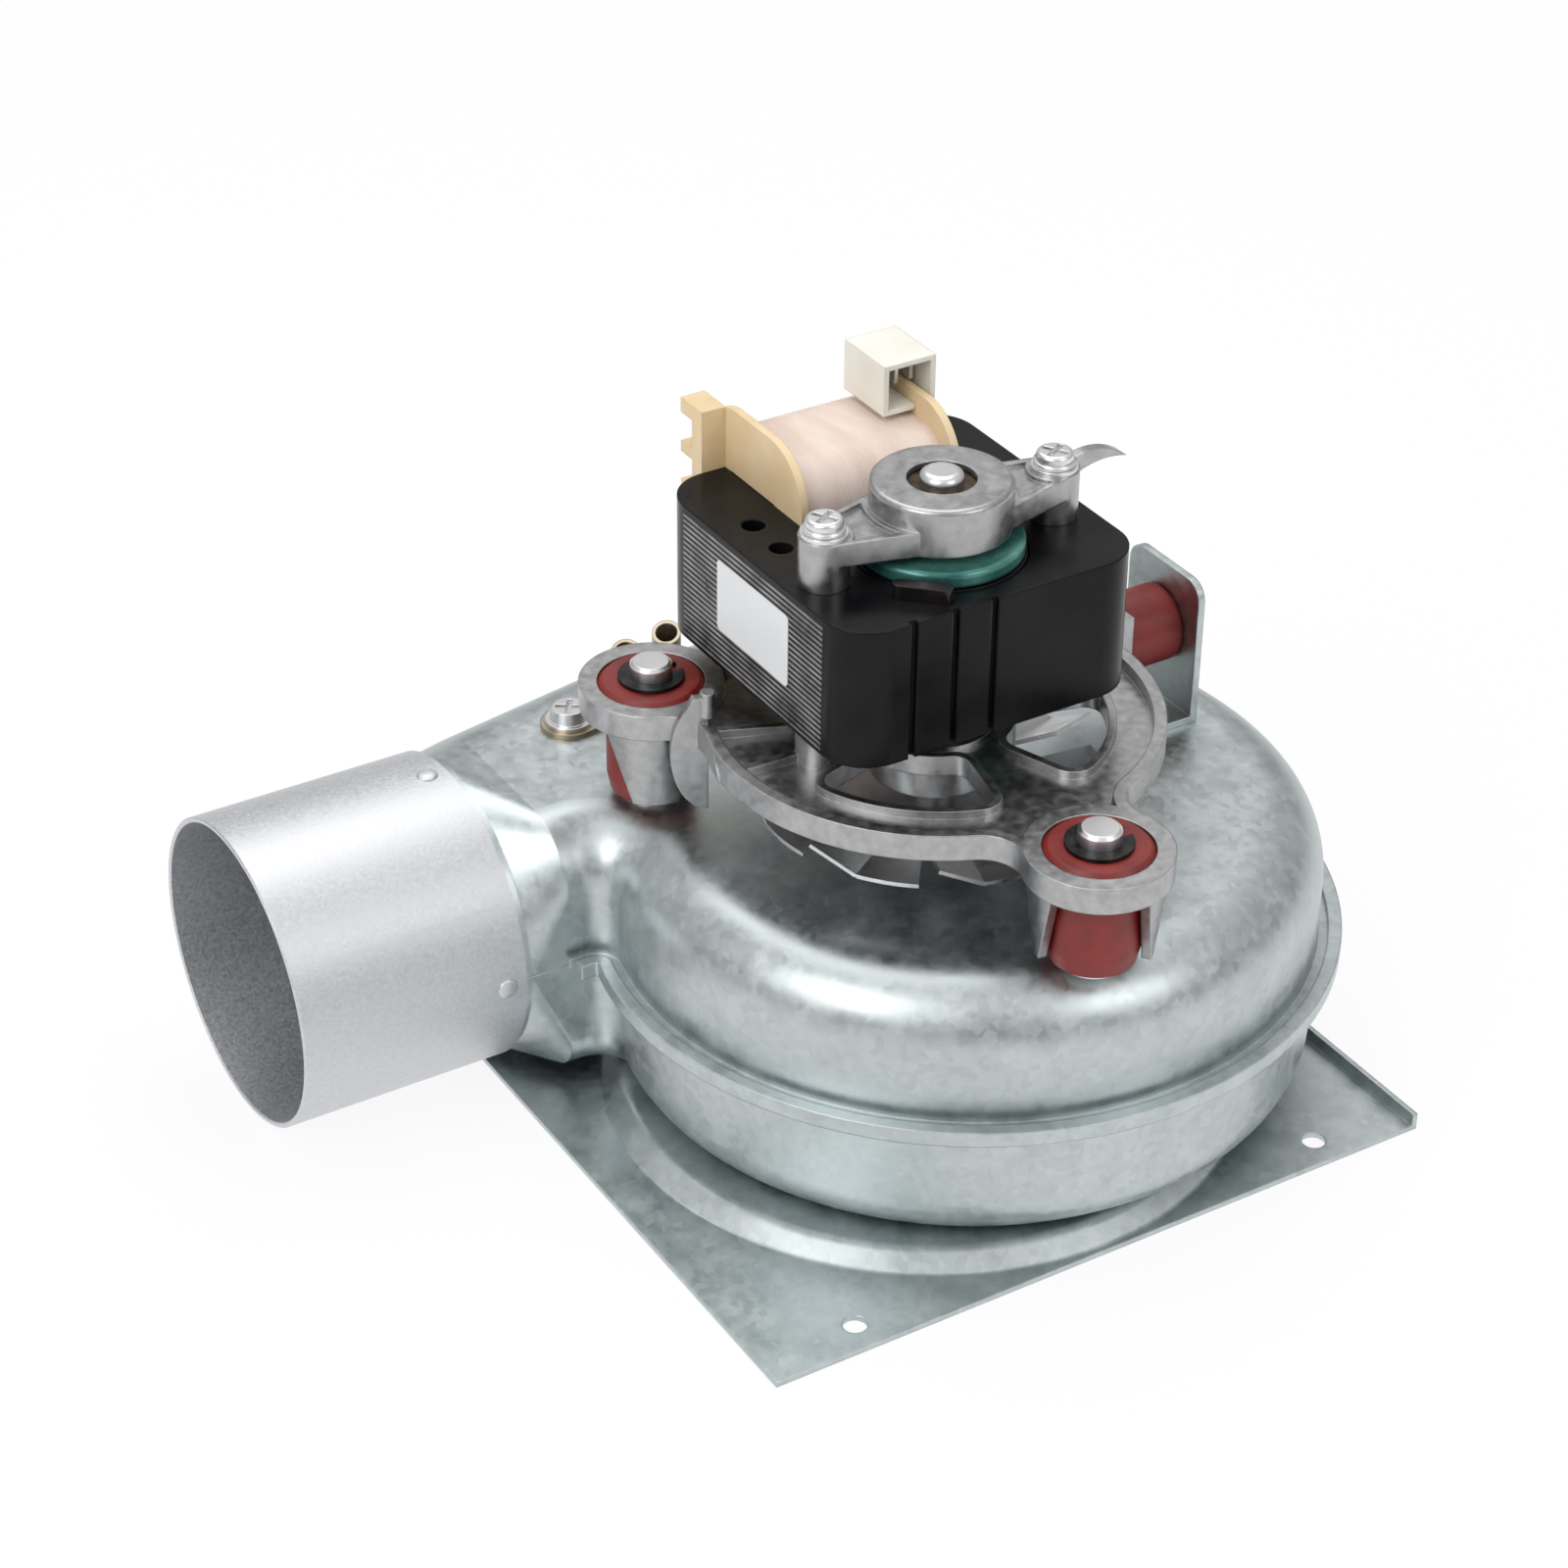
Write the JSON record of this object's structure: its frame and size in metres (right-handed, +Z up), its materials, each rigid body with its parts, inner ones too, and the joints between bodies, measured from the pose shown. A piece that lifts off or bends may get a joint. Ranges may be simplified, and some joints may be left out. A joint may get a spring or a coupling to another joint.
{
  "type": "flue gas fan",
  "caption": "Centrifugal flue fan: sheet-steel scroll on a square plate, round side outlet, shaded-pole motor hung on rubber mounts.",
  "frame": {"origin": "the centre of the mounting plate's four holes, at the plate's underside; the motor shaft stands 8 mm from it towards -Y", "axes": "+Z up from the plate to the motor, parallel to the shaft; the outlet faces -X; +Y points to the coil side"},
  "size_m": [0.1991, 0.156, 0.1343],
  "materials": {
    "galvanised_sheet": "satin",
    "spigot_aluminium": "satin",
    "die_cast": "satin",
    "bright_steel": "gloss",
    "silicone": "satin",
    "dark_spring_steel": "satin",
    "yellow_zinc": "satin",
    "stack_paint": "satin",
    "copper": "satin",
    "bobbin_plastic": "matte",
    "coil_tape": "matte",
    "connector_plastic": "matte",
    "label_film": "satin",
    "sintered_bronze": "satin",
    "felt": "matte",
    "lacquered_ring": "gloss",
    "rotor_iron": "satin",
    "fan_sheet": "satin"
  },
  "bodies": {
    "housing": {"base_plate": "galvanised_sheet", "lower_shell": "galvanised_sheet", "upper_shell": "galvanised_sheet", "inlet_nozzle": "galvanised_sheet", "outlet_spigot": "spigot_aluminium", "spigot_rivets": "bright_steel", "mount_studs": "bright_steel", "retaining_clips": "dark_spring_steel", "front_grommet": "silicone", "left_grommet": "silicone", "side_bracket": "galvanised_sheet", "side_bumper": "silicone", "bumper_pin": "bright_steel", "tap_strip": "yellow_zinc", "tap_tubes": "yellow_zinc", "tap_screw": "bright_steel", "shaft_seal": "felt", "motor_frame": "die_cast", "stator_core": "stack_paint", "coil_core": "stack_paint", "shading_rings": "copper", "coil_bobbin": "bobbin_plastic", "coil_winding": "coil_tape", "terminal_block": "bobbin_plastic", "connector_housing": "connector_plastic", "connector_pins": "bright_steel", "rating_label": "label_film", "upper_bridge": "die_cast", "bridge_washers": "bright_steel", "bridge_screws": "bright_steel", "upper_bearing": "sintered_bronze", "lower_bearing": "sintered_bronze", "upper_felt": "felt", "lower_felt": "felt"},
    "rotor": {"motor_shaft": "bright_steel", "rotor_core": "rotor_iron", "upper_end_ring": "lacquered_ring", "lower_end_ring": "lacquered_ring", "spacer_sleeves": "bright_steel", "fan_hub": "die_cast", "cooling_fan": "fan_sheet", "impeller_shroud": "galvanised_sheet", "impeller_backplate": "galvanised_sheet", "impeller_blades": "galvanised_sheet", "impeller_hub": "die_cast", "impeller_washer": "bright_steel", "impeller_nut": "bright_steel"}
  },
  "joints": [
    {"name": "rotor_spin", "type": "hinge", "parent": "housing", "child": "rotor", "pos_m": [0, -0.008, 0], "axis": [0, 0, 1], "continuous": true}
  ]
}
